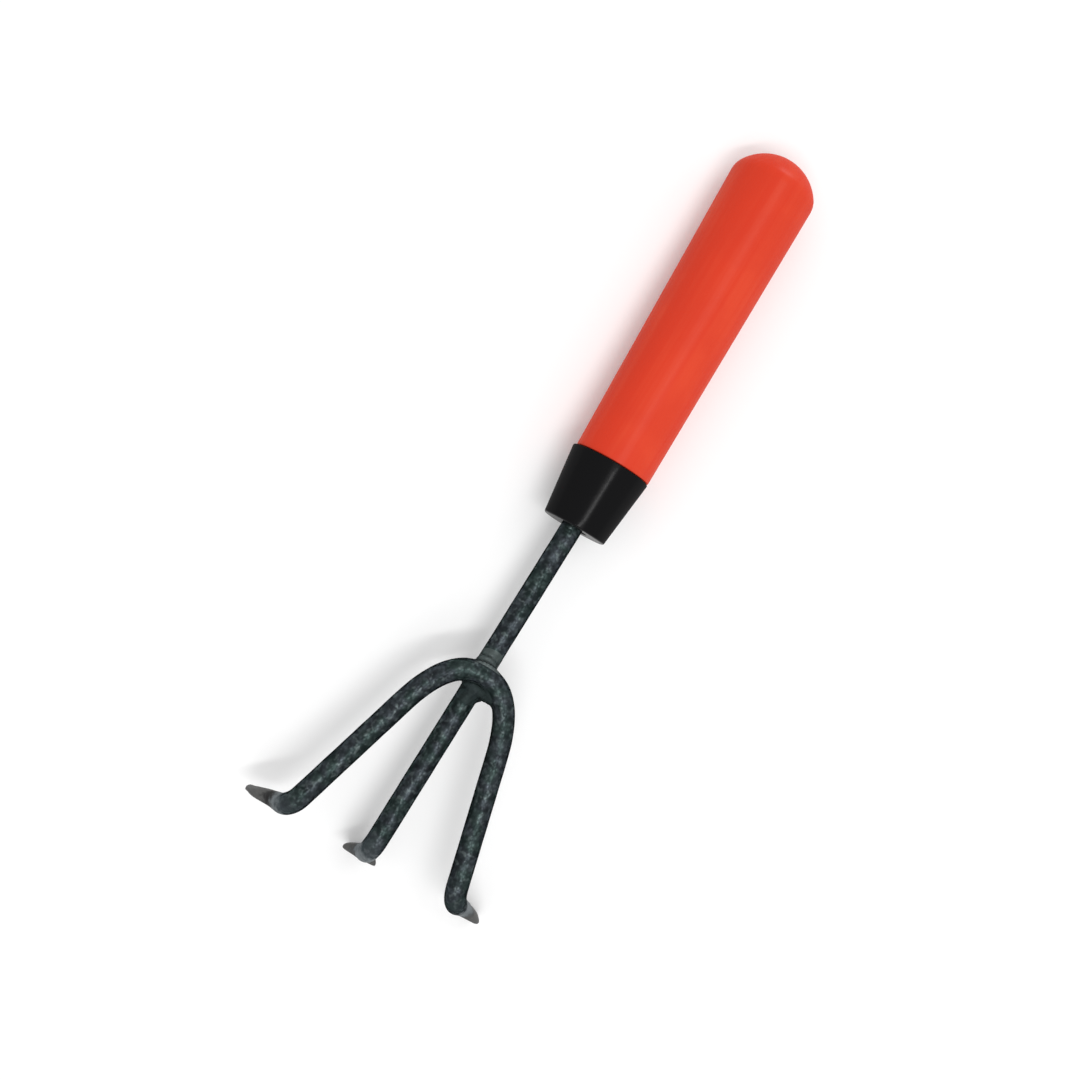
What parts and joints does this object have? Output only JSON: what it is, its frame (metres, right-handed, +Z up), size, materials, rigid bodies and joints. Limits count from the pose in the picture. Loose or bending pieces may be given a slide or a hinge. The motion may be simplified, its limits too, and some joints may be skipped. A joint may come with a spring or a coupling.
{
  "type": "hand cultivator",
  "caption": "Pronged hand cultivator: straight and U-bent steel rods welded together, tines forged into leaf blades, in a domed grip with a tapered collar.",
  "frame": {"origin": "on the surface the tool rests on, under the middle of its bounding box", "axes": "+X from the grip's butt towards the tines, +Z up. The tool lies as it rests by itself: on the edge of the butt, the middle tip and the tip at the +Y side, so it is rolled about 9 degrees towards +Y"},
  "size_m": [0.298, 0.0976, 0.0452],
  "materials": {
    "grip": "satin moulded orange-red plastic with fine surface grain",
    "collar": "glossy black moulded plastic",
    "rod_paint": "dark green-black hammertone paint, scuffed at the blades",
    "weld_paint": "the same paint over a rippled weld bead"
  },
  "bodies": {
    "root": {"grip": "grip", "collar": "collar", "shank_rod": "rod_paint", "outer_tine_rod": "rod_paint", "shank_weld": "weld_paint", "crotch_weld": "weld_paint"}
  },
  "joints": []
}
